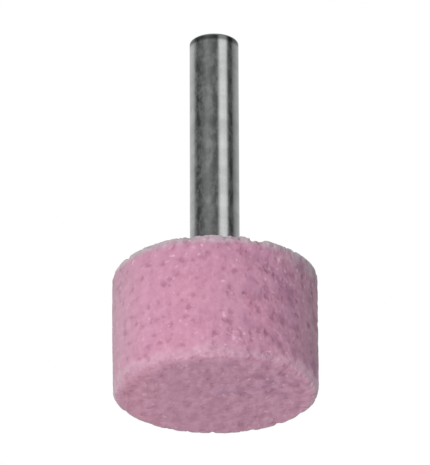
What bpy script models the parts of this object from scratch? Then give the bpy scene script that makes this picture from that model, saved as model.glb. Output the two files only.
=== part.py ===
"""A mounted grinding point: a vitrified pink abrasive head cemented on a plain steel spindle.

The point stands on its head. The origin is the centre of the head's flat grinding face, and +Z runs up
the common axis of head and spindle, out of the spindle's free end. The chip in the rim faces -Y, a little
towards +X.
"""

import math

import bmesh
import bpy
from mathutils import Matrix

MM = 0.001

# Abrasive head
HEAD_DIAMETER = 24.6 * MM
HEAD_HEIGHT = 15.9 * MM
HEAD_TOP_ROUND = 1.0 * MM
HEAD_BASE_ROUND = 0.9 * MM
MOUTH_CHAMFER = 0.35 * MM

# Shallow chip in the head's upper rim, turned this far from -Y towards +X
CHIP_LENGTH = 2.2 * MM
CHIP_DEPTH = 0.25 * MM
CHIP_ANGLE = math.radians(26)

# Steel spindle, a plain pin with one end bonded in the head
SPINDLE_DIAMETER = 6.0 * MM
SPINDLE_FREE_LENGTH = 30.9 * MM
SPINDLE_SEATED_LENGTH = 9.1 * MM
TIP_ROUND = 0.4 * MM
END_CHAMFER = 0.6 * MM

# Grooves turned in the bonded end, which the cement fills
GROOVE_WIDTH = 1.4 * MM
GROOVE_DEPTH = 0.5 * MM
RELIEF_BELOW_MOUTH = 1.0 * MM
LOWER_GROOVE_ABOVE_END = 2.8 * MM

# Straight knurl between and below those grooves: V grooves with a narrow flat land between each two
KNURL_COUNT = 32
KNURL_DEPTH = 0.25 * MM
KNURL_LAND = 0.15 * MM

# Bonding cement, a cast cup between the bore and the spindle
CEMENT_WALL = 0.4 * MM
CEMENT_FLOOR = 0.5 * MM
CEMENT_BELOW_MOUTH = 0.2 * MM
BOND_GAP = 0.3 * MM

# Facets of the round surfaces
TURN_FACETS = 96
ROUND_FACETS = 6
SMOOTH_UP_TO = math.radians(32)
BALL_FACETS = 32
MERGE = 0.005 * MM

# How far the knurl's cutter runs past the spindle, endways and outwards, and how thick its ring is
CUT_PAST_END = 0.5 * MM
CUT_PAST_CREST = 0.02 * MM
CUT_RING = 1.0 * MM

# Places that follow from the sizes above
HEAD_RADIUS = HEAD_DIAMETER / 2
SPINDLE_RADIUS = SPINDLE_DIAMETER / 2
SPINDLE_TIP_Z = HEAD_HEIGHT + SPINDLE_FREE_LENGTH
SPINDLE_END_Z = HEAD_HEIGHT - SPINDLE_SEATED_LENGTH
CEMENT_BORE_RADIUS = SPINDLE_RADIUS + BOND_GAP
CEMENT_RADIUS = CEMENT_BORE_RADIUS + CEMENT_WALL
CEMENT_TOP_Z = HEAD_HEIGHT - CEMENT_BELOW_MOUTH
CEMENT_FLOOR_Z = SPINDLE_END_Z - BOND_GAP
CEMENT_BASE_Z = CEMENT_FLOOR_Z - CEMENT_FLOOR
BORE_RADIUS = CEMENT_RADIUS + BOND_GAP
BORE_FLOOR_Z = CEMENT_BASE_Z - BOND_GAP
GROOVE_RADIUS = SPINDLE_RADIUS - GROOVE_DEPTH
RELIEF_TOP_Z = HEAD_HEIGHT - RELIEF_BELOW_MOUTH
RELIEF_BASE_Z = RELIEF_TOP_Z - GROOVE_WIDTH
LOWER_GROOVE_BASE_Z = SPINDLE_END_Z + LOWER_GROOVE_ABOVE_END
LOWER_GROOVE_TOP_Z = LOWER_GROOVE_BASE_Z + GROOVE_WIDTH


def clear_scene():
    """Removes everything that the file opened with."""
    for thing in list(bpy.data.objects):
        bpy.data.objects.remove(thing)


def collection(name):
    """A new collection in the scene."""
    made = bpy.data.collections.new(name)
    bpy.context.scene.collection.children.link(made)
    return made


def material(name, colour, roughness, metallic):
    """A Principled BSDF material with one plain finish."""
    made = bpy.data.materials.new(name)
    made.use_nodes = True
    shader = made.node_tree.nodes["Principled BSDF"]
    shader.inputs["Base Color"].default_value = (*colour, 1.0)
    shader.inputs["Roughness"].default_value = roughness
    shader.inputs["Metallic"].default_value = metallic
    made.diffuse_color = (*colour, 1.0)
    return made


def quarter_round(radius, height, size, start, end):
    """Profile points of a rounded corner about (radius, height), from one angle to another in degrees."""
    points = []
    for step in range(ROUND_FACETS + 1):
        angle = math.radians(start + (end - start) * step / ROUND_FACETS)
        points.append((radius + size * math.cos(angle), height + size * math.sin(angle)))
    return points


def turned(name, profile, finish, group):
    """Turns a profile of (radius, height) points about Z. The profile runs down its outer side."""
    mesh = bpy.data.meshes.new(name)
    points = [(radius, 0.0, height) for radius, height in profile]
    mesh.from_pydata(points, [(i, i + 1) for i in range(len(points) - 1)], [])
    mesh.materials.append(finish)
    part = bpy.data.objects.new(name, mesh)
    group.objects.link(part)
    turn = part.modifiers.new("Turn", "SCREW")
    turn.axis = "Z"
    turn.angle = math.tau
    turn.steps = TURN_FACETS
    turn.render_steps = TURN_FACETS
    turn.use_merge_vertices = True
    turn.merge_threshold = MERGE
    return part


def make_cutter(thing):
    """Keeps a cutter out of the render, drawn as wire."""
    thing.hide_render = True
    thing.display_type = "WIRE"
    return thing


def cut(part, cutter):
    """Takes the cutter's shape out of the part."""
    difference = part.modifiers.new("Cut " + cutter.name, "BOOLEAN")
    difference.operation = "DIFFERENCE"
    difference.object = cutter


def finish_round(part):
    """Makes the modifiers' result the part's own mesh, with its round faces shaded smooth."""
    graph = bpy.context.evaluated_depsgraph_get()
    mesh = bpy.data.meshes.new_from_object(part.evaluated_get(graph))
    part.modifiers.clear()
    part.data = mesh
    mesh.shade_smooth()
    mesh.set_sharp_from_angle(angle=SMOOTH_UP_TO)


def chip_cutter(group):
    """A ball that grazes the upper rim and scoops out the chip."""
    radius = (CHIP_LENGTH**2 / 4 + CHIP_DEPTH**2) / (2 * CHIP_DEPTH)
    diagonal = math.sqrt(0.5)
    rim_radius = HEAD_RADIUS - HEAD_TOP_ROUND * (1 - diagonal)
    rim_z = HEAD_HEIGHT - HEAD_TOP_ROUND * (1 - diagonal)
    out = (radius - CHIP_DEPTH) * diagonal
    bpy.ops.mesh.primitive_uv_sphere_add(segments=BALL_FACETS, ring_count=BALL_FACETS // 2, radius=radius)
    ball = bpy.context.active_object
    ball.name = "chip_cutter"
    ball.location = (
        (rim_radius + out) * math.sin(CHIP_ANGLE),
        -(rim_radius + out) * math.cos(CHIP_ANGLE),
        rim_z + out,
    )
    for other in list(ball.users_collection):
        other.objects.unlink(ball)
    group.objects.link(ball)
    return make_cutter(ball)


def abrasive_head(finish, group, cutters):
    """The grinding head: one moulded body with rounded rims and a blind bore for the spindle."""
    profile = [
        (0.0, BORE_FLOOR_Z),
        (BORE_RADIUS, BORE_FLOOR_Z),
        (BORE_RADIUS, HEAD_HEIGHT - MOUTH_CHAMFER),
        (BORE_RADIUS + MOUTH_CHAMFER, HEAD_HEIGHT),
    ]
    profile += quarter_round(
        HEAD_RADIUS - HEAD_TOP_ROUND, HEAD_HEIGHT - HEAD_TOP_ROUND, HEAD_TOP_ROUND, 90, 0
    )
    profile += quarter_round(
        HEAD_RADIUS - HEAD_BASE_ROUND, HEAD_BASE_ROUND, HEAD_BASE_ROUND, 0, -90
    )
    profile.append((0.0, 0.0))
    head = turned("abrasive_head", profile, finish, group)
    cut(head, chip_cutter(cutters))
    finish_round(head)
    return head


def groove_outline(radius, top, base, inset):
    """Profile points of both turned grooves and the bands beside them, going down.

    inset is 0 for the spindle itself and the bond gap for the cement, whose ridges stand in the grooves.
    """
    floor = GROOVE_RADIUS + inset
    return [
        (radius, top),
        (radius, RELIEF_TOP_Z - inset),
        (floor, RELIEF_TOP_Z - inset),
        (floor, RELIEF_BASE_Z + inset),
        (radius, RELIEF_BASE_Z + inset),
        (radius, LOWER_GROOVE_TOP_Z - inset),
        (floor, LOWER_GROOVE_TOP_Z - inset),
        (floor, LOWER_GROOVE_BASE_Z + inset),
        (radius, LOWER_GROOVE_BASE_Z + inset),
        (radius, base),
    ]


def knurl_outline():
    """Closed outline of the knurl cutter's hole: a tooth for each V groove, with its tip at the root."""
    root = SPINDLE_RADIUS - KNURL_DEPTH
    crest = SPINDLE_RADIUS + CUT_PAST_CREST
    half_angle_at_surface = (math.tau / KNURL_COUNT - KNURL_LAND / SPINDLE_RADIUS) / 2
    half_angle = half_angle_at_surface * (crest - root) / KNURL_DEPTH
    points = []
    for index in range(KNURL_COUNT):
        middle = math.tau * (index + 0.5) / KNURL_COUNT
        for radius, angle in ((crest, middle - half_angle), (root, middle), (crest, middle + half_angle)):
            points.append((radius * math.cos(angle), radius * math.sin(angle)))
    return points


def ring_outline(radius):
    """Closed outline of a circle with the turned parts' number of facets."""
    return [
        (radius * math.cos(math.tau * i / TURN_FACETS), radius * math.sin(math.tau * i / TURN_FACETS))
        for i in range(TURN_FACETS)
    ]


def knurl_cutter(group):
    """A thick ring with a toothed hole. It ends inside the relief groove, where it touches nothing."""
    top = (RELIEF_TOP_Z + RELIEF_BASE_Z) / 2
    base = SPINDLE_END_Z - CUT_PAST_END
    curve = bpy.data.curves.new("knurl_outline", "CURVE")
    curve.dimensions = "2D"
    curve.fill_mode = "BOTH"
    curve.extrude = (top - base) / 2
    for outline in (ring_outline(SPINDLE_RADIUS + CUT_RING), knurl_outline()):
        spline = curve.splines.new("POLY")
        spline.points.add(len(outline) - 1)
        for point, (x, y) in zip(spline.points, outline):
            point.co = (x, y, 0.0, 1.0)
        spline.use_cyclic_u = True
    drawn = bpy.data.objects.new("knurl_outline", curve)
    drawn.location.z = (top + base) / 2
    group.objects.link(drawn)
    bpy.context.view_layer.update()
    graph = bpy.context.evaluated_depsgraph_get()
    mesh = bpy.data.meshes.new_from_object(drawn.evaluated_get(graph))
    welded = bmesh.new()
    welded.from_mesh(mesh)
    bmesh.ops.remove_doubles(welded, verts=welded.verts, dist=MERGE)
    bmesh.ops.recalc_face_normals(welded, faces=welded.faces)
    welded.to_mesh(mesh)
    welded.free()
    ring = bpy.data.objects.new("knurl_cutter", mesh)
    ring.matrix_world = Matrix(drawn.matrix_world)
    group.objects.link(ring)
    bpy.data.objects.remove(drawn)
    return make_cutter(ring)


def spindle(finish, group, cutters):
    """The steel pin: a rounded free end, and a grooved and knurled end that is bonded in the head."""
    profile = [(0.0, SPINDLE_TIP_Z)]
    profile += quarter_round(SPINDLE_RADIUS - TIP_ROUND, SPINDLE_TIP_Z - TIP_ROUND, TIP_ROUND, 90, 0)
    profile += groove_outline(SPINDLE_RADIUS, HEAD_HEIGHT, SPINDLE_END_Z + END_CHAMFER, 0.0)
    profile += [(SPINDLE_RADIUS - END_CHAMFER, SPINDLE_END_Z), (0.0, SPINDLE_END_Z)]
    pin = turned("spindle", profile, finish, group)
    cut(pin, knurl_cutter(cutters))
    finish_round(pin)
    return pin


def bonding_cement(finish, group):
    """The set cement: a cup round the bonded end, with a ridge in each of the spindle's grooves."""
    inside = groove_outline(CEMENT_BORE_RADIUS, CEMENT_TOP_Z, CEMENT_FLOOR_Z, BOND_GAP)
    profile = [(0.0, CEMENT_FLOOR_Z)]
    profile += reversed(inside)
    profile += [(CEMENT_RADIUS, CEMENT_TOP_Z), (CEMENT_RADIUS, CEMENT_BASE_Z), (0.0, CEMENT_BASE_Z)]
    cup = turned("bonding_cement", profile, finish, group)
    finish_round(cup)
    return cup


def build():
    """Builds the three pieces of the mounted point."""
    clear_scene()
    pieces = collection("mounted_point")
    cutters = collection("cutters")
    cutters.hide_render = True
    pink_grain = material("pink_grain", (0.60, 0.30, 0.41), 0.85, 0.0)
    ground_steel = material("ground_steel", (0.50, 0.51, 0.52), 0.25, 1.0)
    grey_cement = material("grey_cement", (0.42, 0.40, 0.37), 0.7, 0.0)
    abrasive_head(pink_grain, pieces, cutters)
    spindle(ground_steel, pieces, cutters)
    bonding_cement(grey_cement, pieces)


build()
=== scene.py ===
"""The looks of a mounted grinding point: a pink vitrified stone bonded on a ground steel spindle.

The point stands on its stone at the origin, with the spindle up +Z. Sizes are in metres, and angles are in
degrees unless a name says otherwise. An azimuth is counted from -Y, where the camera stands, towards +X.
"""

from __future__ import annotations

import logging
import math
from dataclasses import dataclass
from enum import Enum
from typing import Callable, Iterable, Sequence, Union

import bmesh
import bpy
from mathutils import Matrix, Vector

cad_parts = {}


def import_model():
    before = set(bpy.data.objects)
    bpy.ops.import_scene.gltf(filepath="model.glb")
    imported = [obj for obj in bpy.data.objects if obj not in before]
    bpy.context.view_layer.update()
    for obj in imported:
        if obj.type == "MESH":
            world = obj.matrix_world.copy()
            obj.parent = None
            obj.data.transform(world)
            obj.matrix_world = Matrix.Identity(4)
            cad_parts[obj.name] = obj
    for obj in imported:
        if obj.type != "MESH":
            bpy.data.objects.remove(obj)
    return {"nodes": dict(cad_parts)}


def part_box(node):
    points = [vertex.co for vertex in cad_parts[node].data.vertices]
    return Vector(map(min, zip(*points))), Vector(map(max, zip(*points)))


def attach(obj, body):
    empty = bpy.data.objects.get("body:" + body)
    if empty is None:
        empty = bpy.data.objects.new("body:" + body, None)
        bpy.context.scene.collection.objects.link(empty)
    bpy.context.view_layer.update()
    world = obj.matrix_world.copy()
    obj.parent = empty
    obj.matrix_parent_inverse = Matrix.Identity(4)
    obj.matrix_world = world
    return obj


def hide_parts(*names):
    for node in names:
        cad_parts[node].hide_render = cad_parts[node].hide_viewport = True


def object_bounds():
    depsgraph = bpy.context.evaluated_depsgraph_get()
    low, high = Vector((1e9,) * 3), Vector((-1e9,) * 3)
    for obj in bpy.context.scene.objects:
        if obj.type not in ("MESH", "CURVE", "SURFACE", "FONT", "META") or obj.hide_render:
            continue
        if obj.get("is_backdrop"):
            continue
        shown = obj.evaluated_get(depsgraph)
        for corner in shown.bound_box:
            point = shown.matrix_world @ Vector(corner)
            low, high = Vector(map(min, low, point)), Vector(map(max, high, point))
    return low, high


LOG = logging.getLogger("mounted_point")
MM = 0.001
BODY = "root"

Colour = tuple[float, float, float]
Triple = tuple[float, float, float]
Station = tuple[float, float]
Output = bpy.types.NodeSocket
Paint = Union[Output, Colour]
Feed = Union[Output, float, Sequence[float], str]


def direction(azimuth: float, elevation: float) -> Vector:
    """Unit vector that points out from the object.

    Args:
        azimuth: degrees from -Y towards +X.
        elevation: degrees above the horizon.

    Returns:
        The direction.
    """
    turn, rise = math.radians(azimuth), math.radians(elevation)
    return Vector((math.sin(turn) * math.cos(rise), -math.cos(turn) * math.cos(rise), math.sin(rise)))


def quarter_round(centre: Station, size: float, start: float, end: float, steps: int) -> list[Station]:
    """Stations along a rounded corner.

    Args:
        centre: radius and height of the rounding's centre.
        size: the rounding's radius.
        start: angle of the first station above the horizon.
        end: angle of the last one.
        steps: number of facets.

    Returns:
        The stations, as pairs of radius and height.
    """
    angles = [math.radians(start + (end - start) * step / steps) for step in range(steps + 1)]
    return [(centre[0] + size * math.cos(angle), centre[1] + size * math.sin(angle)) for angle in angles]


class Sheet:
    """A node tree that is being drawn up."""

    def __init__(self, tree: bpy.types.NodeTree) -> None:
        """Takes over a tree and clears it.

        Args:
            tree: the tree to draw on.
        """
        self.tree = tree
        tree.nodes.clear()

    def node(
        self, kind: str, settings: dict[str, object] | None = None, feeds: dict[str | int, Feed] | None = None
    ) -> bpy.types.Node:
        """Adds a node.

        Args:
            kind: its type's name.
            settings: values of the node's own properties.
            feeds: for each input, by name or number, a value or the output that feeds it.

        Returns:
            The new node.
        """
        made = self.tree.nodes.new(kind)
        for key, value in (settings or {}).items():
            setattr(made, key, value)
        for key, feed in (feeds or {}).items():
            if isinstance(feed, bpy.types.NodeSocket):
                self.tree.links.new(feed, made.inputs[key])
            else:
                made.inputs[key].default_value = feed
        return made

    def math(self, operation: str, *feeds: Feed, clamp: bool = False) -> Output:
        """Adds a Math node.

        Args:
            operation: what it works out.
            feeds: its inputs, in order.
            clamp: whether the result is kept between 0 and 1.

        Returns:
            Its result.
        """
        settings = {"operation": operation, "use_clamp": clamp}
        return self.node("ShaderNodeMath", settings, dict(enumerate(feeds))).outputs[0]

    def product(self, first: Feed, *others: Feed) -> Output:
        """Multiplies values.

        Args:
            first: the first factor.
            others: the factors after it.

        Returns:
            Their product.
        """
        for other in others:
            first = self.math("MULTIPLY", first, other)
        return first

    def ramp(self, value: Feed, low: float, high: float, to_low: float = 0.0, to_high: float = 1.0) -> Output:
        """Maps a range smoothly onto another one, and holds its ends.

        Args:
            value: what is mapped.
            low: value that gives to_low.
            high: value that gives to_high.
            to_low: result at low.
            to_high: result at high.

        Returns:
            The result.
        """
        feeds = {0: value, 1: low, 2: high, 3: to_low, 4: to_high}
        return self.node("ShaderNodeMapRange", {"interpolation_type": "SMOOTHSTEP"}, feeds).outputs[0]

    def fade(self, amount: Feed, first: Feed, second: Feed) -> Output:
        """Mixes two values.

        Args:
            amount: share of the second one.
            first: the value at 0.
            second: the value at 1.

        Returns:
            The mixed value.
        """
        return self.node("ShaderNodeMix", {"data_type": "FLOAT"}, {0: amount, 2: first, 3: second}).outputs[0]

    def blend(self, amount: Feed, first: Paint, second: Paint, way: str = "MIX") -> Output:
        """Mixes two colours.

        Args:
            amount: share of the second one.
            first: the colour underneath.
            second: the colour on top.
            way: the blend mode.

        Returns:
            The mixed colour.
        """
        settings = {"data_type": "RGBA", "blend_type": way}
        under, over = ((*colour, 1.0) if isinstance(colour, tuple) else colour for colour in (first, second))
        return self.node("ShaderNodeMix", settings, {0: amount, 6: under, 7: over}).outputs[2]

    def vector(self, operation: str, *feeds: Feed) -> Output:
        """Adds a Vector Math node.

        Args:
            operation: what it works out.
            feeds: its inputs, in order.

        Returns:
            Its result, a plain value if the operation gives one.
        """
        made = self.node("ShaderNodeVectorMath", {"operation": operation}, dict(enumerate(feeds)))
        return made.outputs["Value" if operation in ("LENGTH", "DISTANCE", "DOT_PRODUCT") else "Vector"]

    def scaled(self, place: Feed, factor: Feed) -> Output:
        """Scales a vector evenly."""
        feeds = {0: place, "Scale": factor}
        return self.node("ShaderNodeVectorMath", {"operation": "SCALE"}, feeds).outputs[0]

    def flat(self, place: Feed) -> Output:
        """Moves a place to height 0."""
        return self.vector("MULTIPLY", place, (1.0, 1.0, 0.0))

    def parts(self, place: Feed) -> tuple[Output, ...]:
        """Splits a vector into its three parts."""
        return tuple(self.node("ShaderNodeSeparateXYZ", {}, {0: place}).outputs)

    def mapped(self, place: Feed, scale: Triple) -> Output:
        """Scales a place by axis, with a Mapping node."""
        return self.node("ShaderNodeMapping", {}, {0: place, 3: scale}).outputs[0]

    def stored(self, name: str, output: str = "Fac") -> Output:
        """Reads what the mesh stores under a name."""
        return self.node("ShaderNodeAttribute", {"attribute_name": name}).outputs[output]

    def noise(self, place: Feed, scale: float, detail: float = 2.0, roughness: float = 0.5) -> Output:
        """Adds a noise texture.

        Args:
            place: where it is looked up.
            scale: waves per unit of length, roughly.
            detail: number of finer layers on top.
            roughness: strength of each finer layer.

        Returns:
            The noise, mostly between 0.3 and 0.7.
        """
        look = {"Vector": place, "Scale": scale, "Detail": detail, "Roughness": roughness}
        return self.node("ShaderNodeTexNoise", {"noise_dimensions": "3D"}, look).outputs[0]

    def shaken(self, place: Feed, scale: float, reach: float) -> Output:
        """Shakes a place, so that what is looked up there loses its even shape.

        Args:
            place: the place.
            scale: shakes per unit of length, roughly.
            reach: how far it is moved, at most.

        Returns:
            The shaken place.
        """
        look = {"Vector": place, "Scale": scale, "Detail": 1.0}
        way = self.node("ShaderNodeTexNoise", {"noise_dimensions": "3D"}, look).outputs["Color"]
        return self.vector("MULTIPLY_ADD", self.vector("SUBTRACT", way, (0.5,) * 3), (2 * reach,) * 3, place)

    def spots(self, place: Feed, scale: float, share: Feed, outer: float, inner: float) -> Output:
        """Scatters spots: some cells of a random packing have one.

        Args:
            place: where it is looked up.
            scale: cells per unit of length.
            share: share of the cells with a spot.
            outer: distance from a cell's middle, in cells, at which its spot ends.
            inner: distance at which it is full.

        Returns:
            1 in the middle of the strongest spots and 0 outside them.
        """
        look = {"Vector": place, "Scale": scale}
        cells = self.node("ShaderNodeTexVoronoi", {"voronoi_dimensions": "3D", "feature": "F1"}, look).outputs
        odds = self.parts(cells["Color"])[0]
        chosen = self.math("SUBTRACT", 1.0, self.math("DIVIDE", odds, share), clamp=True)
        strength = self.math("POWER", chosen, 0.4)
        return self.math("MULTIPLY", strength, self.ramp(cells["Distance"], outer, inner))

    def one_side(self, place: Feed, azimuth: float) -> Output:
        """Picks out one side of a turned piece.

        Args:
            place: where it is looked up.
            azimuth: the direction of the side.

        Returns:
            1 in that direction, falling to 0 a quarter turn away.
        """
        outwards = self.vector("NORMALIZE", self.flat(place))
        cosine = self.vector("DOT_PRODUCT", outwards, direction(azimuth, 0.0))
        return self.math("POWER", self.math("MAXIMUM", cosine, 0.0), 2.0)

    def coat(self, looks: dict[str | int, Feed]) -> None:
        """Ends a material with a Principled shader.

        Args:
            looks: what feeds the shader's inputs, by name.
        """
        shader = self.node("ShaderNodeBsdfPrincipled", {}, looks)
        self.node("ShaderNodeOutputMaterial", {}, {"Surface": shader.outputs[0]})


def new_material(name: str) -> tuple[bpy.types.Material, Sheet]:
    """Makes an empty material.

    Args:
        name: its name.

    Returns:
        The material, and the sheet to draw it on.
    """
    made = bpy.data.materials.new(name)
    made.use_nodes = True
    return made, Sheet(made.node_tree)


@dataclass(frozen=True)
class Socket:
    """A socket of a node group."""

    name: str
    kind: str = "NodeSocketFloat"
    value: float | None = None


def node_group(name: str, kind: str, inputs: Iterable[Socket], outputs: Iterable[Socket]) -> Sheet:
    """Makes an empty node group.

    Args:
        name: its name.
        kind: type of its tree.
        inputs: its input sockets.
        outputs: its output sockets.

    Returns:
        The sheet to draw it on.
    """
    tree = bpy.data.node_groups.new(name, kind)
    for socket in inputs:
        made = tree.interface.new_socket(socket.name, in_out="INPUT", socket_type=socket.kind)
        if socket.value is not None:
            made.default_value = socket.value
    for socket in outputs:
        tree.interface.new_socket(socket.name, in_out="OUTPUT", socket_type=socket.kind)
    return Sheet(tree)


class Workpiece:
    """A mesh that is shaped on the bench with Blender's own tools, round the axis of the point."""

    def __init__(self, name: str, sides: int, first: Station) -> None:
        """Starts from a filled circle.

        Args:
            name: name of the piece.
            sides: number of facets round the axis.
            first: radius and height of the circle.
        """
        bpy.ops.object.select_all(action="DESELECT")
        bpy.ops.mesh.primitive_circle_add(
            vertices=sides, radius=first[0], fill_type="NGON", location=(0.0, 0.0, first[1])
        )
        self.thing: bpy.types.Object = bpy.context.active_object
        self.thing.name = name
        bpy.ops.object.transform_apply(location=True, rotation=True, scale=True)
        self.at = first

    def turn(self, stations: Iterable[Station]) -> None:
        """Extrudes the end face from station to station, which makes a turned body.

        Args:
            stations: pairs of radius and height. The body ends on the last one.
        """
        bpy.ops.object.mode_set(mode="EDIT")
        bpy.ops.mesh.select_all(action="SELECT")
        for radius, height in stations:
            rise = (0.0, 0.0, height - self.at[1])
            bpy.ops.mesh.extrude_region_move(TRANSFORM_OT_translate={"value": rise})
            share = radius / self.at[0]
            bpy.ops.transform.resize(value=(share, share, 1.0), center_override=(0.0, 0.0, 0.0))
            self.at = (radius, height)
        bpy.ops.mesh.select_all(action="SELECT")
        bpy.ops.mesh.normals_make_consistent(inside=False)
        bpy.ops.object.mode_set(mode="OBJECT")

    def pinch(self, wanted: Callable[[Vector], bool], share: float) -> None:
        """Moves some vertices towards the axis.

        Args:
            wanted: says whether a place belongs to them.
            share: what is left of their distance from the axis.
        """
        bpy.ops.object.mode_set(mode="EDIT")
        bpy.ops.mesh.select_mode(type="VERT")
        bpy.ops.mesh.select_all(action="DESELECT")
        cage = bmesh.from_edit_mesh(self.thing.data)
        for vertex in cage.verts:
            vertex.select_set(wanted(vertex.co))
        bmesh.update_edit_mesh(self.thing.data)
        bpy.ops.transform.resize(value=(share, share, 1.0), center_override=(0.0, 0.0, 0.0))
        bpy.ops.object.mode_set(mode="OBJECT")

    def scoop(self, centre: Vector, radius: float, run: float, tilt: float) -> None:
        """Scoops out what a long ball reaches.

        Args:
            centre: the ball's centre.
            radius: the ball's radius across.
            run: how many times longer it is from front to back.
            tilt: degrees by which its back end is raised.
        """
        bpy.ops.object.select_all(action="DESELECT")
        bpy.ops.mesh.primitive_ico_sphere_add(subdivisions=4, radius=radius, location=centre)
        bpy.ops.transform.resize(value=(1.0, run, 1.0))
        ball = bpy.context.active_object
        ball.rotation_euler.x = math.radians(tilt)
        self.choose()
        cut = self.thing.modifiers.new("scoop", "BOOLEAN")
        cut.operation = "DIFFERENCE"
        cut.object = ball
        bpy.ops.object.modifier_apply(modifier=cut.name)
        bpy.data.objects.remove(ball)

    def remesh(self, voxel: float) -> None:
        """Lays an even net of small faces over the piece.

        Args:
            voxel: edge length of a face.
        """
        self.choose()
        net = self.thing.modifiers.new("net", "REMESH")
        net.mode = "VOXEL"
        net.voxel_size = voxel
        bpy.ops.object.modifier_apply(modifier=net.name)

    def grow(self, group: bpy.types.NodeTree) -> None:
        """Runs a geometry node group over the piece and keeps the result.

        Args:
            group: the group.
        """
        self.choose()
        layer = self.thing.modifiers.new(group.name, "NODES")
        layer.node_group = group
        bpy.ops.object.modifier_apply(modifier=layer.name)

    def choose(self) -> None:
        """Makes the piece the only selected and the active one."""
        bpy.ops.object.select_all(action="DESELECT")
        self.thing.select_set(True)
        bpy.context.view_layer.objects.active = self.thing

    def hand_over(self, node: str, finish: bpy.types.Material, smooth: float) -> bpy.types.Object:
        """Shades and paints the piece, and puts it in the place of a node of the frame.

        Args:
            node: the node that it replaces.
            finish: its material.
            smooth: edges up to this angle are shaded smooth.

        Returns:
            The finished object.
        """
        self.choose()
        if smooth < 180.0:
            bpy.ops.object.shade_smooth_by_angle(angle=math.radians(smooth))
        else:
            bpy.ops.object.shade_smooth()
        self.thing.data.materials.clear()
        self.thing.data.materials.append(finish)
        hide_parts(node)
        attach(self.thing, BODY)
        return self.thing


def grit_group() -> bpy.types.NodeTree:
    """Grit: packed grains of random tone, small pits where grains are missing, and a few bright grains that
    the stone's material paints as glints.

    Returns:
        The shader group, from a place in grain diameters to Tone, Pit, Glint and Height. Pits and Glints say
        how many there are: at 0.5 they cover half of the surface, and at 0.3 only a few are left.
    """
    inputs = (Socket("Vector", "NodeSocketVector"), Socket("Pits", value=0.36), Socket("Glints", value=0.34))
    outputs = (Socket("Tone"), Socket("Pit"), Socket("Glint"), Socket("Height"))
    sheet = node_group("grit", "ShaderNodeTree", inputs, outputs)
    given = sheet.node("NodeGroupInput").outputs
    place = given["Vector"]
    soft = sheet.noise(place, 0.50, 2.0, 0.58)
    holes = sheet.noise(place, 0.50)
    sparks = sheet.noise(place, 0.90, 1.0)
    packing = {"voronoi_dimensions": "3D", "feature": "SMOOTH_F1"}
    look = {"Vector": place, "Scale": 1.2, "Smoothness": 0.4}
    own = sheet.parts(sheet.node("ShaderNodeTexVoronoi", packing, look).outputs["Color"])[1]
    tone = sheet.math("MULTIPLY_ADD", own, 0.16, sheet.math("MULTIPLY", soft, 0.84))
    pit = sheet.ramp(sheet.math("SUBTRACT", given["Pits"], holes), 0.0, 0.12)
    glint = sheet.ramp(sheet.math("ADD", given["Glints"], sparks), 0.98, 1.14)
    height = sheet.math("MULTIPLY_ADD", glint, 0.2, tone)
    height = sheet.math("MULTIPLY_ADD", pit, -0.45, height)
    sheet.node("NodeGroupOutput", {}, {"Tone": tone, "Pit": pit, "Glint": glint, "Height": height})
    return sheet.tree


@dataclass(frozen=True)
class StoneSpot:
    """A spot on the stone, as outputs of the material's sheet.

    across and height are its X and Z. ground is 1 on the grinding face, rubbed is how far it is worn pale,
    open_side is 1 where the grain is most open, and aside grows as its face turns away from the view. It sets
    a
    painted sheen: faces seen at a grazing angle are painted paler and greyer.
    """

    place: Output
    across: Output
    height: Output
    ground: Output
    rubbed: Output
    open_side: Output
    aside: Output


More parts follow.
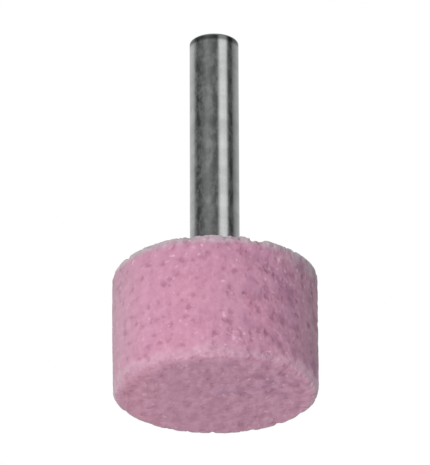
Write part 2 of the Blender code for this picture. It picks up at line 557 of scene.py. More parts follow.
@dataclass(frozen=True)
class StoneFinish:
    """The pink vitrified grain: soft mottling, pits darkened with painted shade, paler worn rims, a few
    bright grains with painted glints, and a painted sheen where faces are seen at a grazing angle.
    """

    radius: float
    height: float
    dark: Colour = (0.550, 0.253, 0.362)
    light: Colour = (0.684, 0.349, 0.476)
    lilac: Colour = (0.590, 0.318, 0.462)
    # pit: painted shade for the pits' hollows, with a redder tone of the stone in them
    pit: Colour = (0.385, 0.150, 0.228)
    stain: Colour = (0.82, 0.76, 0.80)
    # glint: painted highlight, which lifts the colour of bright grains where crystal faces would glint
    glint: Colour = (0.850, 0.510, 0.645)
    # painted sheen: paler, greyer colours for faces seen at a grazing angle
    painted_sheen_dark: Colour = (0.515, 0.347, 0.404)
    painted_sheen_light: Colour = (0.602, 0.407, 0.473)
    painted_sheen_pit: Colour = (0.300, 0.185, 0.225)
    painted_sheen_glint: Colour = (0.760, 0.570, 0.645)
    paler_base: Colour = (1.02, 1.19, 1.10)
    paler_top: Colour = (0.97, 1.39, 1.16)
    dull_top: Colour = (0.93, 0.94, 0.95)
    paler_low_right: Colour = (1.26, 1.27, 1.25)
    rosy: Colour = (1.10, 1.06, 1.04)
    scuff: Triple = (-0.1 * MM, -12.2 * MM, 1.1 * MM)
    scuff_reach: float = 2.4 * MM
    open_azimuth: float = 52.0
    grain: float = 0.56 * MM
    grain_relief: float = 0.12 * MM
    grain_scale: Triple = (1.0, 0.80, 1.0)
    face_scale: Triple = (0.86, 0.54, 1.0)
    clouds_per_metre: float = 200.0
    stains_per_metre: float = 420.0
    pits: float = 0.40
    glints: float = 0.37

    def material(self, grit: bpy.types.NodeTree) -> bpy.types.Material:
        """Makes the material.

        Args:
            grit: the shared grit group.

        Returns:
            The material.
        """
        made, sheet = new_material("pink_vitrified_grain")
        spot = self.spot(sheet)
        in_grains = sheet.mapped(spot.place, tuple(scale / self.grain for scale in self.grain_scale))
        wide = sheet.noise(in_grains, 0.16)
        grains = self.grains(sheet, grit, in_grains, spot.ground)
        tone = self.tone(sheet, spot, grains["Tone"], wide)
        body = self.worn(sheet, spot, tone, self.fired(sheet, spot, tone))
        body = self.speckled(sheet, spot, grains, wide, body)
        rough = sheet.math("MULTIPLY_ADD", grains["Glint"], -0.25, 0.85)
        strength = sheet.math("MULTIPLY_ADD", spot.aside, -0.8, 1.0, clamp=True)
        relief = {"Strength": strength, "Distance": self.grain_relief, "Height": grains["Height"]}
        normal = sheet.node("ShaderNodeBump", {}, relief).outputs[0]
        sheen = {"Specular IOR Level": 0.2, "Sheen Weight": 0.05, "Sheen Roughness": 0.5}
        sheet.coat({"Base Color": body, "Roughness": rough, "Normal": normal, **sheen})
        return made

    def spot(self, sheet: Sheet) -> StoneSpot:
        """Works out where a spot lies, how far it is rubbed, and how far its face is turned aside.

        Args:
            sheet: the sheet to draw on.

        Returns:
            The spot.
        """
        place = sheet.node("ShaderNodeTexCoord").outputs["Object"]
        across, _, height = sheet.parts(place)
        ground = sheet.stored("ground")
        scuffed = sheet.ramp(sheet.vector("DISTANCE", place, self.scuff), self.scuff_reach, 0.0)
        scuffed = sheet.math("MULTIPLY", scuffed, sheet.ramp(ground, 0.5, 0.0))
        rubbed = sheet.math("MULTIPLY_ADD", scuffed, 0.6, sheet.stored("rubbed"), clamp=True)
        smooth = {"Blend": 0.5, "Normal": sheet.stored("trued", "Vector")}
        grazing = sheet.node("ShaderNodeLayerWeight", {}, smooth).outputs["Facing"]
        # share of the painted sheen: grows where the trued face is seen at a grazing angle, less on the
        # grinding face
        aside = sheet.ramp(grazing, 0.15, 1.0, 0.0, 0.8)
        aside = sheet.math("MULTIPLY_ADD", ground, -0.28, aside, clamp=True)
        open_side = sheet.one_side(place, self.open_azimuth)
        return StoneSpot(place, across, height, ground, rubbed, open_side, aside)

    def grains(self, sheet: Sheet, grit: bpy.types.NodeTree, place: Feed, ground: Feed) -> dict[str, Output]:
        """Looks the grit up twice, finer on the sides than on the ground face, and fades between them.

        Args:
            sheet: the sheet to draw on.
            grit: the shared grit group.
            place: where it is looked up, in grain diameters.
            ground: 1 on the grinding face and 0 away from it.

        Returns:
            The group's outputs by name.
        """
        counts = {"Pits": self.pits, "Glints": self.glints}
        fine, coarse = (
            sheet.node("ShaderNodeGroup", {"node_tree": grit}, {"Vector": at, **counts}).outputs
            for at in (place, sheet.vector("MULTIPLY", place, self.face_scale))
        )
        names = ("Tone", "Pit", "Glint", "Height")
        return {name: sheet.fade(ground, fine[name], coarse[name]) for name in names}

    @staticmethod
    def tone(sheet: Sheet, spot: StoneSpot, grain: Feed, wide: Feed) -> Output:
        """Works out how light the grain is. It varies most on the ground face and on the open side.

        Args:
            sheet: the sheet to draw on.
            spot: the spot.
            grain: the grit's own tone.
            wide: slow noise, which groups light grains with light ones.

        Returns:
            The tone, round 0.5.
        """
        tone = sheet.math("MULTIPLY_ADD", sheet.math("SUBTRACT", wide, 0.5), 0.16, grain)
        swing = sheet.math("MULTIPLY_ADD", spot.open_side, 0.20, 0.75)
        swing = sheet.math("MAXIMUM", swing, sheet.math("MULTIPLY", spot.ground, 1.5))
        return sheet.math("MULTIPLY_ADD", sheet.math("SUBTRACT", tone, 0.5), swing, 0.5)

    def fired(self, sheet: Sheet, spot: StoneSpot, tone: Feed) -> Output:
        """Colours the fired grain, with a lilac veil in clouds and with stains on the open side. Faces seen
        at a grazing angle take a painted sheen, paler and greyer.

        Args:
            sheet: the sheet to draw on.
            spot: the spot.
            tone: how light the grain is.

        Returns:
            The colour.
        """
        # painted sheen: towards grazing faces the grain colours turn paler and greyer
        dark = sheet.blend(spot.aside, self.dark, self.painted_sheen_dark)
        light = sheet.blend(spot.aside, self.light, self.painted_sheen_light)
        body = sheet.blend(sheet.ramp(tone, 0.25, 0.75), dark, light)
        veiled = sheet.ramp(sheet.noise(spot.place, self.clouds_per_metre), 0.45, 0.65, 0.0, 0.5)
        veiled = sheet.math("MULTIPLY", veiled, sheet.ramp(spot.open_side, 0.0, 1.0, 0.2))
        body = sheet.blend(veiled, body, self.lilac)
        stained = sheet.ramp(sheet.noise(spot.place, self.stains_per_metre), 0.47, 0.66)
        stained = sheet.math("MULTIPLY", stained, sheet.ramp(spot.open_side, 0.3, 0.95))
        return sheet.blend(stained, body, self.stain, "MULTIPLY")

    def worn(self, sheet: Sheet, spot: StoneSpot, tone: Feed, body: Output) -> Output:
        """Pales what is rubbed, dulls the upper left, pales the lower right and reddens the face's left.

        Args:
            sheet: the sheet to draw on.
            spot: the spot.
            tone: how light the grain is.
            body: the colour of the fired grain.

        Returns:
            The worn colour.
        """
        upper = sheet.ramp(spot.height, 0.3 * self.height, 0.7 * self.height)
        paler = sheet.blend(upper, self.paler_base, self.paler_top)
        frayed = sheet.ramp(sheet.math("MULTIPLY_ADD", tone, 1.1, spot.rubbed), 0.60, 1.50)
        body = sheet.blend(frayed, body, paler, "MULTIPLY")
        leftwards = sheet.ramp(spot.across, 0.4 * self.radius, -0.2 * self.radius)
        high = sheet.ramp(spot.height, 0.55 * self.height, 0.95 * self.height)
        body = sheet.blend(sheet.math("MULTIPLY", leftwards, high), body, self.dull_top, "MULTIPLY")
        # paler towards the lower right, less so on the grinding face
        right = sheet.ramp(spot.across, 0.45 * self.radius, 0.82 * self.radius)
        low = sheet.ramp(spot.height, 0.17 * self.height, 0.05 * self.height)
        paled_low_right = sheet.product(right, low, sheet.math("MULTIPLY_ADD", spot.ground, -0.8, 1.0))
        body = sheet.blend(paled_low_right, body, self.paler_low_right, "MULTIPLY")
        left = sheet.ramp(spot.across, -0.30 * self.radius, -0.80 * self.radius)
        return sheet.blend(sheet.math("MULTIPLY", spot.ground, left), body, self.rosy, "MULTIPLY")

    def speckled(
        self, sheet: Sheet, spot: StoneSpot, grains: dict[str, Output], wide: Feed, body: Output
    ) -> Output:
        """Paints shade into the pits and hollows, and sets bright grains with painted glints into the colour.

        Args:
            sheet: the sheet to draw on.
            spot: the spot.
            grains: the grit's outputs by name.
            wide: slow noise, which gathers the bright grains in places.
            body: the colour round them.

        Returns:
            The finished colour.
        """
        # painted shade: pits and torn hollows are darkened in the colour, less on the pale rubbed bands
        hollow = sheet.math("MULTIPLY", sheet.stored("hollow"), 0.55)
        painted_pit_shade = sheet.math("MAXIMUM", sheet.math("MULTIPLY", grains["Pit"], 0.35), hollow)
        painted_pit_shade = sheet.math("MULTIPLY", painted_pit_shade, sheet.math("MULTIPLY_ADD", spot.rubbed, -0.5, 1.0))
        body = sheet.blend(painted_pit_shade, body, sheet.blend(spot.aside, self.pit, self.painted_sheen_pit))
        # painted glints: bright grains are lifted towards white, gathered in places by the slow noise
        painted_glint_share = sheet.math("MULTIPLY", grains["Glint"], sheet.ramp(wide, 0.42, 0.58, 0.25, 0.7))
        return sheet.blend(painted_glint_share, body, sheet.blend(spot.aside, self.glint, self.painted_sheen_glint))


@dataclass(frozen=True)
class RimSpot:
    """A spot on the trued stone, as outputs of the erosion's sheet.

    parts are its X, Y and Z. out is how far it lies outside the flat faces, beside_rim is above 0 on a rim's
    rounding and below 0 beside it, upper is 1 in the upper half, and ground is 1 on the grinding face.
    """

    place: Output
    parts: tuple[Output, ...]
    out: Output
    beside_rim: Output
    upper: Output
    ground: Output


@dataclass(frozen=True)
class Erosion:
    """The wear that takes the trued stone down to its grain. Depths count into the stone."""

    radius: float
    height: float
    rounding: float
    grain: float
    open_azimuth: float
    proud: float = 0.03 * MM
    torn_depth: float = 0.14 * MM
    wave_depth: float = 0.09 * MM
    bite_least: float = 0.06 * MM
    bite_exposed: float = 0.10 * MM
    bite_top: float = 0.28 * MM
    rim_swell: float = 0.085 * MM
    rim_wear: float = 0.12 * MM
    side_wear: float = 0.12 * MM
    front_wear: float = 0.22 * MM

    def group(self) -> bpy.types.NodeTree:
        """Makes the geometry group.

        Returns:
            The group. Grains are torn out here and there, and the rims are ragged. It leaves four attributes
            for the material: how deep a place is torn, how far it is rubbed pale beside a rim, whether it is
            on the grinding face, and the way that the trued surface faces there.
        """
        geometry = Socket("Geometry", "NodeSocketGeometry")
        sheet = node_group("erosion", "GeometryNodeTree", (geometry,), (geometry,))
        worn = sheet.node("NodeGroupInput").outputs[0]
        normal = sheet.node("GeometryNodeInputNormal").outputs[0]
        spot = self.spot(sheet)
        rim = sheet.ramp(spot.beside_rim, -0.02 * self.rounding, 0.35 * self.rounding)
        torn = self.torn(sheet, spot)
        bites = self.bites(sheet, spot)
        waves = sheet.noise(spot.place, 1 / (2.2 * self.grain), 2.0, 0.6)
        depth = sheet.math("MULTIPLY_ADD", torn, self.torn_depth, -self.proud)
        depth = sheet.math("MULTIPLY_ADD", sheet.ramp(waves, 0.38, 0.72), self.wave_depth, depth)
        depth = sheet.math("MULTIPLY_ADD", rim, self.crumbled(sheet, spot, bites), depth)
        depth = self.base_worn(sheet, spot, depth)
        there = sheet.vector("ADD", spot.place, sheet.scaled(normal, sheet.math("MULTIPLY", depth, -1.0)))
        there = sheet.vector("MAXIMUM", there, (-1.0, -1.0, 0.0))
        there = sheet.vector("MINIMUM", there, (1.0, 1.0, self.height))
        hollow = sheet.math("MAXIMUM", torn, sheet.math("MULTIPLY", bites, rim), clamp=True)
        marks = (
            ("hollow", "FLOAT", hollow),
            ("rubbed", "FLOAT", self.rubbed(sheet, spot)),
            ("ground", "FLOAT", spot.ground),
            ("trued", "FLOAT_VECTOR", normal),
        )
        for name, kind, value in marks:
            kept = {"Geometry": worn, "Name": name, "Value": value}
            worn = sheet.node("GeometryNodeStoreNamedAttribute", {"data_type": kind}, kept).outputs[0]
        moved = sheet.node("GeometryNodeSetPosition", {}, {"Geometry": worn, "Position": there})
        sheet.node("NodeGroupOutput", {}, {0: moved.outputs[0]})
        return sheet.tree

    def spot(self, sheet: Sheet) -> RimSpot:
        """Works out where a spot lies on the trued stone.

        Args:
            sheet: the sheet to draw on.

        Returns:
            The spot.
        """
        place = sheet.node("GeometryNodeInputPosition").outputs[0]
        parts = sheet.parts(place)
        out = sheet.math("SUBTRACT", sheet.vector("LENGTH", sheet.flat(place)), self.radius - self.rounding)
        from_middle = sheet.math("ABSOLUTE", sheet.math("SUBTRACT", parts[2], self.height / 2))
        beyond = sheet.math("SUBTRACT", from_middle, self.height / 2 - self.rounding)
        beside_rim = sheet.math("MINIMUM", out, beyond)
        upper = sheet.math("GREATER_THAN", parts[2], self.height / 2)
        low = sheet.math("LESS_THAN", parts[2], 0.5 * self.rounding)
        ground = sheet.math("MULTIPLY", low, sheet.ramp(out, 0.6 * self.rounding, -0.2 * self.rounding))
        return RimSpot(place, parts, out, beside_rim, upper, ground)

    def rubbed(self, sheet: Sheet, spot: RimSpot) -> Output:
        """Works out how far a spot is rubbed pale. The pale band is widest on the right of the top rim.

        Args:
            sheet: the sheet to draw on.
            spot: the spot.

        Returns:
            1 where it is palest, and 0 away from the rims.
        """
        top = sheet.ramp(spot.beside_rim, -0.40 * self.rounding, 0.35 * self.rounding)
        right = sheet.ramp(spot.parts[0], 0.45 * self.radius, 0.85 * self.radius, 0.0, 0.6)
        wider = sheet.math("MULTIPLY", sheet.ramp(spot.beside_rim, -2.2 * self.rounding, 0.0), right)
        low = sheet.ramp(spot.parts[2], 1.8 * self.rounding, 0.5 * self.rounding)
        off_face = sheet.ramp(spot.parts[2], 0.0, 0.35 * self.rounding, 0.25)
        outside = sheet.ramp(spot.out, -0.2 * self.rounding, 0.35 * self.rounding)
        base = sheet.product(low, off_face, outside)
        return sheet.fade(spot.upper, base, sheet.math("MAXIMUM", top, wider))

    def torn(self, sheet: Sheet, spot: RimSpot) -> Output:
        """Scatters torn-out grains, more of them on the open side and shallower ones on the grinding face.

        Args:
            sheet: the sheet to draw on.
            spot: the spot.

        Returns:
            1 at the bottom of the deepest holes, and 0 outside them.
        """
        ragged = sheet.shaken(spot.place, 1 / (0.9 * self.grain), 0.5 * self.grain)
        share = sheet.math("MULTIPLY_ADD", sheet.one_side(spot.place, self.open_azimuth), 0.15, 0.11)
        torn = sheet.spots(ragged, 1 / (1.55 * self.grain), share, 0.58, 0.25)
        return sheet.math("MULTIPLY", torn, sheet.math("MULTIPLY_ADD", spot.ground, -0.5, 1.0))

    def bites(self, sheet: Sheet, spot: RimSpot) -> Output:
        """Scatters small and large bites along the rims.

        Args:
            sheet: the sheet to draw on.
            spot: the spot.

        Returns:
            0 outside the bites, and up to 1.5 where a small one meets a large one.
        """
        outwards = sheet.vector("NORMALIZE", sheet.flat(spot.place))
        around = sheet.vector("MULTIPLY", outwards, (self.radius,) * 3)
        drawn_out = sheet.scaled(spot.place, sheet.math("MULTIPLY_ADD", spot.upper, -0.35, 0.85))
        on_rim = sheet.vector("ADD", drawn_out, around)
        small = sheet.spots(on_rim, 1 / self.grain, 0.60, 0.6, 0.15)
        large = sheet.spots(on_rim, 1 / (2.8 * self.grain), 0.45, 0.6, 0.2)
        return sheet.math("MULTIPLY_ADD", large, 0.7, sheet.math("MULTIPLY", small, 0.8))

    def crumbled(self, sheet: Sheet, spot: RimSpot, bites: Feed) -> Output:
        """Works out how far the rims are crumbled: most at the top, and least on the front of the base.

        Args:
            sheet: the sheet to draw on.
            spot: the spot.
            bites: how much is bitten out.

        Returns:
            The depth. The left of the top and the right of the base have lost a little more.
        """
        back = sheet.ramp(spot.parts[1], -0.3 * self.radius, 0.3 * self.radius)
        exposed = sheet.math("MAXIMUM", spot.upper, back)
        bite_depth = sheet.math("MULTIPLY_ADD", exposed, self.bite_exposed, self.bite_least)
        bite_depth = sheet.math("MULTIPLY_ADD", spot.upper, self.bite_top, bite_depth)
        swell = sheet.math("MULTIPLY", exposed, -self.rim_swell)
        depth = sheet.math("MULTIPLY_ADD", bites, bite_depth, swell)
        side = sheet.math("MULTIPLY_ADD", spot.upper, -2 / self.radius, 1 / self.radius)
        uneven = sheet.math("MAXIMUM", sheet.math("MULTIPLY", spot.parts[0], side), 0.0)
        return sheet.math("MULTIPLY_ADD", sheet.math("POWER", uneven, 2.0), self.rim_wear, depth)

    def base_worn(self, sheet: Sheet, spot: RimSpot, depth: Feed) -> Output:
        """Adds the wear of the base, on its left side and on its front rim.

        Args:
            sheet: the sheet to draw on.
            spot: the spot.
            depth: the depth so far.

        Returns:
            The new depth.
        """
        outside = sheet.ramp(spot.out, 0.2 * self.rounding, 0.8 * self.rounding)
        low = sheet.ramp(spot.parts[2], 0.6 * self.height, 0.05 * self.height)
        left = sheet.product(outside, low, sheet.one_side(spot.place, -90.0))
        on_rim = sheet.ramp(spot.beside_rim, -0.7 * self.rounding, 0.7 * self.rounding)
        front = sheet.ramp(spot.parts[1], 0.2 * self.radius, -0.6 * self.radius)
        front = sheet.product(on_rim, sheet.math("SUBTRACT", 1.0, spot.upper), front)
        depth = sheet.math("MULTIPLY_ADD", left, self.side_wear, depth)
        return sheet.math("MULTIPLY_ADD", front, self.front_wear, depth)


@dataclass(frozen=True)
class SteelFinish:
    """Ground spindle steel: bright, with fine mottling, hairline scratches and grinding lines round it, and a
    painted dark reflection in a band below the tip.
    """

    tip: float
    light: Colour = (0.688, 0.706, 0.698)
    dark: Colour = (0.530, 0.546, 0.546)
    # painted reflection: the dark that the tip's rounding reflects, painted as a band below the tip
    painted_dark_reflection: Colour = (0.150, 0.158, 0.165)
    mottle: float = 0.22 * MM
    mottle_rise: float = 0.55
    scratches_per_metre: Triple = (7000.0, 7000.0, 200.0)
    passes_per_metre: Triple = (90.0, 90.0, 500.0)
    relief: float = 0.004 * MM
    reflection_band_base: float = 1.05 * MM
    reflection_band_full: float = 0.62 * MM
    reflection_band_fades: float = 0.36 * MM
    reflection_band_top: float = 0.05 * MM

    def material(self) -> bpy.types.Material:
        """Makes the material.

        Returns:
            The material.
        """
        made, sheet = new_material("ground_spindle_steel")
        place = sheet.node("ShaderNodeTexCoord").outputs["Object"]
        in_spots = sheet.mapped(place, (1 / self.mottle, 1 / self.mottle, self.mottle_rise / self.mottle))
        spots = sheet.noise(in_spots, 1.0, 3.0, 0.65)
        clouds = sheet.noise(in_spots, 0.28, 2.0, 0.6)
        hair = sheet.noise(sheet.mapped(place, self.scratches_per_metre), 1.0, 3.0, 0.6)
        passes = sheet.noise(sheet.mapped(place, self.passes_per_metre), 1.0, 2.0, 0.6)
        tone = sheet.math("MULTIPLY_ADD", hair, 0.25, sheet.math("MULTIPLY", spots, 0.20))
        tone = sheet.math("MULTIPLY_ADD", passes, 0.55, tone)
        metal = sheet.blend(sheet.ramp(tone, 0.35, 0.65), self.dark, self.light)
        # painted reflection: the band below the tip is darkened in the colour
        metal = sheet.blend(self.paint_tip_reflection(sheet, place), metal, self.painted_dark_reflection)
        stain = sheet.math("MULTIPLY_ADD", clouds, 0.8, sheet.math("MULTIPLY", spots, 0.2))
        purity = sheet.ramp(stain, 0.40, 0.64, 0.98, 0.86)
        rough = sheet.ramp(stain, 0.40, 0.66, 0.10, 0.14)
        height = sheet.math("MULTIPLY_ADD", hair, 0.15, spots)
        relief = {"Strength": 1.0, "Distance": self.relief, "Height": height}
        normal = sheet.node("ShaderNodeBump", {}, relief).outputs[0]
        sheet.coat({"Base Color": metal, "Metallic": purity, "Roughness": rough, "Normal": normal})
        return made

    def paint_tip_reflection(self, sheet: Sheet, place: Feed) -> Output:
        """Picks out the painted dark reflection below the tip.

        Args:
            sheet: the sheet to draw on.
            place: where it is looked up.

        Returns:
            How dark the place is. The band's four heights are measured down from the tip.
        """
        height = sheet.parts(place)[2]
        below = sheet.ramp(height, self.tip - self.reflection_band_base, self.tip - self.reflection_band_full, 0.0, 0.85)
        above = sheet.ramp(height, self.tip - self.reflection_band_top, self.tip - self.reflection_band_fades, 0.2, 1.0)
        return sheet.math("MULTIPLY", below, above)


@dataclass(frozen=True)
class CementFinish:
    """The grey mineral cement round the spindle."""

    pale: Colour = (0.52, 0.50, 0.47)
    dark: Colour = (0.33, 0.31, 0.29)
    sand: float = 0.16 * MM
    relief: float = 0.02 * MM
    pits: float = 0.36
    glints: float = 0.30

    def material(self, grit: bpy.types.NodeTree) -> bpy.types.Material:
        """Makes the material.

        Args:
            grit: the shared grit group.

        Returns:
            The material.
        """
        made, sheet = new_material("grey_mineral_cement")
        place = sheet.node("ShaderNodeTexCoord").outputs["Object"]
        sand = {"Vector": sheet.mapped(place, (1 / self.sand,) * 3), "Pits": self.pits, "Glints": self.glints}
        grains = sheet.node("ShaderNodeGroup", {"node_tree": grit}, sand).outputs
        body = sheet.blend(sheet.ramp(grains["Tone"], 0.3, 0.7), self.dark, self.pale)
        relief = {"Strength": 0.5, "Distance": self.relief, "Height": grains["Height"]}
        normal = sheet.node("ShaderNodeBump", {}, relief).outputs[0]
        sheet.coat({"Base Color": body, "Roughness": 0.8, "Normal": normal})
        return made


class Rim(Enum):
    """The two rims of the stone."""

    TOP = 1
    BASE = -1


@dataclass(frozen=True)
class Chip:
    """A shallow chip in a rim."""

    rim: Rim
    azimuth: float
    length: float
    depth: float
    run: float


@dataclass
class AbrasiveStone:
    """The pink head: a trued cylinder with rounded, slightly chipped rims and a blind bore."""

    top_round: float = 1.15 * MM
    base_round: float = 0.9 * MM
    bore_radius: float = 4.0 * MM
    bore_floor: float = 5.7 * MM
    mouth_chamfer: float = 0.35 * MM
    sides: int = 192
    round_steps: int = 8
    net: float = 0.175 * MM
    chip_tilt: float = 24.0
    chips: tuple[Chip, ...] = (
        Chip(Rim.TOP, 22.5, 0.8 * MM, 0.50 * MM, 4.0),
        Chip(Rim.TOP, 26.2, 1.9 * MM, 0.36 * MM, 2.0),
        Chip(Rim.TOP, -60.7, 0.55 * MM, 0.36 * MM, 4.0),
        Chip(Rim.BASE, 181.9, 0.8 * MM, 0.20 * MM, 2.5),
        Chip(Rim.BASE, 159.7, 0.6 * MM, 0.12 * MM, 2.5),
        Chip(Rim.BASE, 140.3, 1.2 * MM, 0.24 * MM, 2.0),
        Chip(Rim.BASE, 121.3, 1.7 * MM, 0.20 * MM, 2.0),
    )

    def __post_init__(self) -> None:
        """Reads the overall size from the frame."""
        low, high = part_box("abrasive_head")
        self.radius = (high.x - low.x) / 2
        self.height = high.z

    def outline(self) -> list[Station]:
        """Stations from the grinding face round the outside and down the bore."""
        base_centre = (self.radius - self.base_round, self.base_round)
        base = quarter_round(base_centre, self.base_round, -90, 0, self.round_steps)
        top_centre = (self.radius - self.top_round, self.height - self.top_round)
        top = quarter_round(top_centre, self.top_round, 0, 90, self.round_steps)
        mouth = [
            (self.bore_radius + self.mouth_chamfer, self.height),
            (self.bore_radius, self.height - self.mouth_chamfer),
            (self.bore_radius, self.bore_floor),
        ]
        return base + top + mouth

    def chip_off(self, piece: Workpiece, chip: Chip) -> None:
        """Scoops a chip out of a rim, where the rim is seen edge on from the front.

        Args:
            piece: the turned stone.
            chip: the chip.
        """
        radius = (chip.length**2 / 4 + chip.depth**2) / (2 * chip.depth)
        rounding = self.top_round if chip.rim is Rim.TOP else self.base_round
        middle = direction(chip.azimuth, 0.0) * (self.radius - rounding)
        middle.z = self.height - rounding if chip.rim is Rim.TOP else rounding
        rise = abs(math.cos(math.radians(chip.azimuth))) / math.tan(math.radians(self.chip_tilt))
        way = direction(chip.azimuth, chip.rim.value * math.degrees(math.atan(rise)))
        piece.scoop(middle + way * (rounding + radius - chip.depth), radius, chip.run, self.chip_tilt)

    def build(self, grit: bpy.types.NodeTree) -> bpy.types.Object:
        """Builds and dresses the stone.

        Args:
            grit: the shared grit group.

        Returns:
            The finished stone.
        """
        stations = self.outline()
        piece = Workpiece("vitrified_stone", self.sides, stations[0])
        piece.turn(stations[1:])
        for chip in self.chips:
            self.chip_off(piece, chip)
        finish = StoneFinish(self.radius, self.height)
        wear = Erosion(self.radius, self.height, self.top_round, finish.grain, finish.open_azimuth)
        piece.remesh(self.net)
        piece.grow(wear.group())
        return piece.hand_over("abrasive_head", finish.material(grit), smooth=180.0)


@dataclass
class SteelSpindle:
    """The pin: a plain ground shank with a rounded tip, and a grooved and knurled end in the stone."""

    tip_round: float = 0.34 * MM
    end_chamfer: float = 0.6 * MM
    groove_depth: float = 0.5 * MM
    groove_width: float = 1.4 * MM
    relief_top: float = 14.9 * MM
    lower_groove_base: float = 9.6 * MM
    knurl_count: int = 32
    knurl_depth: float = 0.25 * MM
    knurl_land: float = 0.15 * MM
    sides_per_tooth: int = 8
    round_steps: int = 12

    def __post_init__(self) -> None:
        """Reads the overall size from the frame."""
        low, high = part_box("spindle")
        self.radius = (high.x - low.x) / 2
        self.end = low.z
        self.tip = high.z

    @property
    def relief_base(self) -> float:
        """Height of the lower side of the upper groove."""
        return self.relief_top - self.groove_width

    @property
    def lower_groove_top(self) -> float:
        """Height of the upper side of the lower groove."""
        return self.lower_groove_base + self.groove_width

    def outline(self) -> list[Station]:
        """Stations from the bonded end up to the tip."""
        root = self.radius - self.groove_depth
        stations = [(self.radius - self.end_chamfer, self.end), (self.radius, self.end + self.end_chamfer)]
        grooves = ((self.lower_groove_base, self.lower_groove_top), (self.relief_base, self.relief_top))
        for base, top in grooves:
            stations += [(self.radius, base), (root, base), (root, top), (self.radius, top)]
        tip_centre = (self.radius - self.tip_round, self.tip - self.tip_round)
        return stations + quarter_round(tip_centre, self.tip_round, 0, 90, self.round_steps)

    def knurl(self, piece: Workpiece) -> None:
        """Presses the V grooves of the straight knurl into the bonded end.

        Args:
            piece: the turned spindle.
        """
        pitch = math.tau / self.knurl_count
        half_groove = (pitch - self.knurl_land / self.radius) / 2
        half_sides = self.sides_per_tooth // 2
        for step in range(half_sides):
            away = step * pitch / self.sides_per_tooth
            depth = self.knurl_depth * (1 - away / half_groove)
            if depth <= 0.0:
                break

            def wanted(place: Vector, away: float = away) -> bool:
                """Says whether a place is on the knurled surface, this far from the middle of a V."""
                on_surface = math.hypot(place.x, place.y) > self.radius - 0.1 * self.knurl_depth
                from_crest = math.atan2(place.y, place.x) % pitch
                beside = abs(abs(from_crest - pitch / 2) - away) < pitch / self.sides_per_tooth / 4
                return on_surface and beside and place.z < self.relief_base + 0.1 * self.groove_width

            piece.pinch(wanted, 1 - depth / self.radius)

    def build(self) -> bpy.types.Object:
        """Builds and dresses the spindle."""
        stations = self.outline()
        piece = Workpiece("steel_spindle", self.knurl_count * self.sides_per_tooth, stations[0])
        piece.turn(stations[1:])
        self.knurl(piece)
        return piece.hand_over("spindle", SteelFinish(self.tip).material(), smooth=32.0)


@dataclass
class CementCup:
    """The cement: a cast cup that fills the bore round the spindle, with a meniscus at its mouth."""

    stone: AbrasiveStone
    spindle: SteelSpindle
    film: float = 0.01 * MM
    below_mouth: float = 0.28 * MM
    climb: float = 0.42 * MM
    sides: int = 128
    meniscus_steps: int = 8

    def outline(self) -> list[Station]:
        """Stations from the bottom of the cup up its outside and down its inside."""
        outer = self.stone.bore_radius - self.film
        inner = self.spindle.radius + self.film
        rim = self.stone.height - self.below_mouth
        stations = [(outer, self.stone.bore_floor + self.film), (outer, rim)]
        for step in range(1, self.meniscus_steps + 1):
            share = step / self.meniscus_steps
            stations.append((outer + (inner - outer) * share, rim + self.climb * share**3))
        root = inner - self.spindle.groove_depth
        grooves = (
            (self.spindle.relief_top, self.spindle.relief_base),
            (self.spindle.lower_groove_top, self.spindle.lower_groove_base),
        )
        for top, base in grooves:
            stations += [(inner, top - self.film), (root, top - self.film)]
            stations += [(root, base + self.film), (inner, base + self.film)]
        return stations + [(inner, self.spindle.end - self.film)]

    def build(self, grit: bpy.types.NodeTree) -> bpy.types.Object:
        """Builds and dresses the cement.

        Args:
            grit: the shared grit group.

        Returns:
            The finished cement.
        """
        stations = self.outline()
        piece = Workpiece("cement_cup", self.sides, stations[0])
        piece.turn(stations[1:])
        return piece.hand_over("bonding_cement", CementFinish().material(grit), smooth=50.0)


@dataclass(frozen=True)
class Camera:
    """The photograph's camera: a long lens that looks up at the stone from a little below."""

    azimuth: float = 0.0
    elevation: float = -24.0
    distance: float = 0.600
    lens_mm: float = 385.0
    sensor_mm: float = 36.0
    roll: float = -0.22
    aim: Triple = (0.03 * MM, 0.0, 21.39 * MM)
    clip: tuple[float, float] = (0.02, 5.0)

    def place(self) -> None:
        """Sets up the camera."""
        out = direction(self.azimuth, self.elevation)
        data = bpy.data.cameras.new("camera")
        data.lens = self.lens_mm
        data.sensor_width = self.sensor_mm
        data.clip_start, data.clip_end = self.clip
        camera = bpy.data.objects.new("camera", data)
        camera.location = Vector(self.aim) + out * self.distance
        turned = (-out).to_track_quat("-Z", "Y").to_matrix().to_4x4().to_euler()
        turned.rotate_axis("Z", math.radians(self.roll))
        camera.rotation_euler = turned
        bpy.context.scene.collection.objects.link(camera)
        bpy.context.scene.camera = camera


@dataclass(frozen=True)
class SoftBox:
    """A square studio lamp that faces the object."""

    name: str
    azimuth: float
    elevation: float
    side: float
    level: float
    colour: Colour
    distance: float = 0.6
    seen_in_steel: bool = True

    def place(self, centre: Vector) -> None:
        """Sets up the lamp. Its level is the light that it throws on a surface that faces it.

        Args:
            centre: the point that it faces.
        """
        data = bpy.data.lights.new(self.name, "AREA")
        data.shape = "SQUARE"
        data.size = self.side
        data.energy = self.level * math.pi**2 * self.distance**2
        data.color = self.colour
        lamp = bpy.data.objects.new(self.name, data)
        out = direction(self.azimuth, self.elevation)
        lamp.location = centre + out * self.distance
        lamp.rotation_euler = out.to_track_quat("Z", "Y").to_euler()
        lamp.visible_camera = False
        lamp.visible_glossy = self.seen_in_steel
        bpy.context.scene.collection.objects.link(lamp)


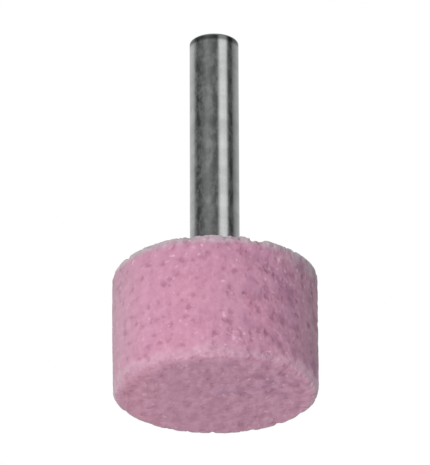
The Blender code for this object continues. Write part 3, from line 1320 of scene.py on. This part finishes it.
@dataclass(frozen=True)
class Studio:
    """Plain soft studio light, a white backdrop, and a pale floor that is only seen from above."""

    ambient: Colour = (0.465, 0.466, 0.481)
    white: Colour = (1.0, 1.0, 1.0)
    ring: tuple[Station, ...] = (
        (-180, 0.64), (-135, 0.60), (-115, 0.51), (-99, 0.14), (-85, 0.035), (-73, 0.065), (-62, 0.11),
        (-51, 0.155), (-41, 0.225), (-31, 0.25), (-21, 0.225), (-12, 0.175), (-3, 0.13), (7, 0.105),
        (15, 0.13), (25.5, 0.78), (31, 0.95), (48, 0.92), (57, 0.84), (68, 0.16), (73, 0.09),
        (80, 0.04), (91, 0.045), (104, 0.27), (123, 0.42), (180, 0.64),
    )
    ceiling: float = 0.45
    ceiling_fade: tuple[float, float] = (0.68, 0.80)
    ceiling_tilt: float = -0.2
    ground: float = 0.50
    ground_fade: tuple[float, float] = (-0.35, -0.60)
    floor_drop: float = 0.05 * MM
    floor_radius: float = 0.9
    floor_sides: int = 64
    floor_fade: tuple[float, float] = (0.05, 0.30)
    lamps: tuple[SoftBox, ...] = (
        SoftBox("key", -30.0, -24.0, 0.22, 0.59, (1.0, 0.96, 0.955)),
        SoftBox("top", 0.0, 88.0, 0.30, 0.35, (1.0, 1.0, 1.0), seen_in_steel=False),
        SoftBox("back", 180.0, 25.0, 0.22, 0.45, (1.0, 0.98, 0.98), seen_in_steel=False),
        SoftBox("left", -115.0, 5.0, 0.22, 0.08, (1.0, 1.0, 1.0), seen_in_steel=False),
    )

    def light(self, centre: Vector) -> None:
        """Places the lamps and draws the world.

        Args:
            centre: middle of the object.
        """
        for lamp in self.lamps:
            lamp.place(centre)
        world = bpy.data.worlds.new("studio")
        world.use_nodes = True
        bpy.context.scene.world = world
        sheet = Sheet(world.node_tree)
        path = sheet.node("ShaderNodeLightPath").outputs
        colour = sheet.blend(path["Is Glossy Ray"], self.ambient, self.surroundings(sheet))
        colour = sheet.blend(path["Is Camera Ray"], colour, self.white)
        glow = sheet.node("ShaderNodeBackground", {}, {"Color": colour, "Strength": 1.0})
        sheet.node("ShaderNodeOutputWorld", {}, {"Surface": glow.outputs[0]})

    def surroundings(self, sheet: Sheet) -> Output:
        """Draws what bright metal shows: grey panels in a ring, a plain ceiling and pale ground.

        Args:
            sheet: the world's sheet.

        Returns:
            The colour in each direction.
        """
        x, y, z = sheet.parts(sheet.node("ShaderNodeTexCoord").outputs["Generated"])
        azimuth = sheet.math("ARCTAN2", x, sheet.math("MULTIPLY", y, -1.0))
        share = sheet.math("MULTIPLY_ADD", azimuth, 1 / math.tau, 0.5)
        panels = sheet.node("ShaderNodeValToRGB", {}, {0: share})
        stops = panels.color_ramp.elements
        for bearing, _ in self.ring[1:-1]:
            stops.new(bearing / 360 + 0.5)
        for stop, (bearing, level) in zip(stops, self.ring):
            stop.position = bearing / 360 + 0.5
            stop.color = (level, level, level, 1.0)
        up = sheet.ramp(sheet.math("MULTIPLY_ADD", y, self.ceiling_tilt, z), *self.ceiling_fade)
        down = sheet.ramp(z, *self.ground_fade)
        colour = sheet.blend(up, panels.outputs[0], (self.ceiling,) * 3)
        return sheet.blend(down, colour, (self.ground,) * 3)

    def lay_floor(self) -> None:
        """Lays the floor. It is clear from below, where the photograph's camera stands."""
        bpy.ops.object.select_all(action="DESELECT")
        place = (0.0, 0.0, -self.floor_drop)
        bpy.ops.mesh.primitive_circle_add(
            vertices=self.floor_sides, radius=self.floor_radius, fill_type="NGON", location=place
        )
        floor = bpy.context.active_object
        floor.name = "floor"
        made, sheet = new_material("pale_floor")
        from_axis = sheet.vector("LENGTH", sheet.node("ShaderNodeTexCoord").outputs["Object"])
        faded = sheet.ramp(from_axis, *self.floor_fade)
        beneath = sheet.node("ShaderNodeNewGeometry").outputs["Backfacing"]
        clear = sheet.math("MAXIMUM", beneath, faded)
        matt = sheet.node("ShaderNodeBsdfDiffuse", {}, {"Color": (*self.white, 1.0)})
        glass = sheet.node("ShaderNodeBsdfTransparent")
        both = sheet.node("ShaderNodeMixShader", {}, {0: clear, 1: matt.outputs[0], 2: glass.outputs[0]})
        sheet.node("ShaderNodeOutputMaterial", {}, {"Surface": both.outputs[0]})
        floor.data.materials.append(made)
        floor.visible_diffuse = False
        floor.visible_glossy = False
        floor.visible_shadow = False
        floor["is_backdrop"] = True


def report(piece: bpy.types.Object) -> None:
    """Logs a finished piece.

    Args:
        piece: the piece.
    """
    piece.data.calc_loop_triangles()
    LOG.info("%s: %d triangles", piece.name, len(piece.data.loop_triangles))


def main() -> None:
    """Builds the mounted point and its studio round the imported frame."""
    logging.basicConfig(level=logging.INFO, format="%(name)s: %(message)s")
    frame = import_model()
    cad_low, cad_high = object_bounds()
    LOG.info("frame: %s on body %s", ", ".join(sorted(frame["nodes"])), BODY)
    bpy.context.scene.view_settings.view_transform = "Standard"
    Camera().place()
    grit = grit_group()
    stone = AbrasiveStone()
    spindle = SteelSpindle()
    report(stone.build(grit))
    report(spindle.build())
    report(CementCup(stone, spindle).build(grit))
    studio = Studio()
    studio.light((cad_low + cad_high) / 2)
    studio.lay_floor()


if __name__ == "__main__":
    main()
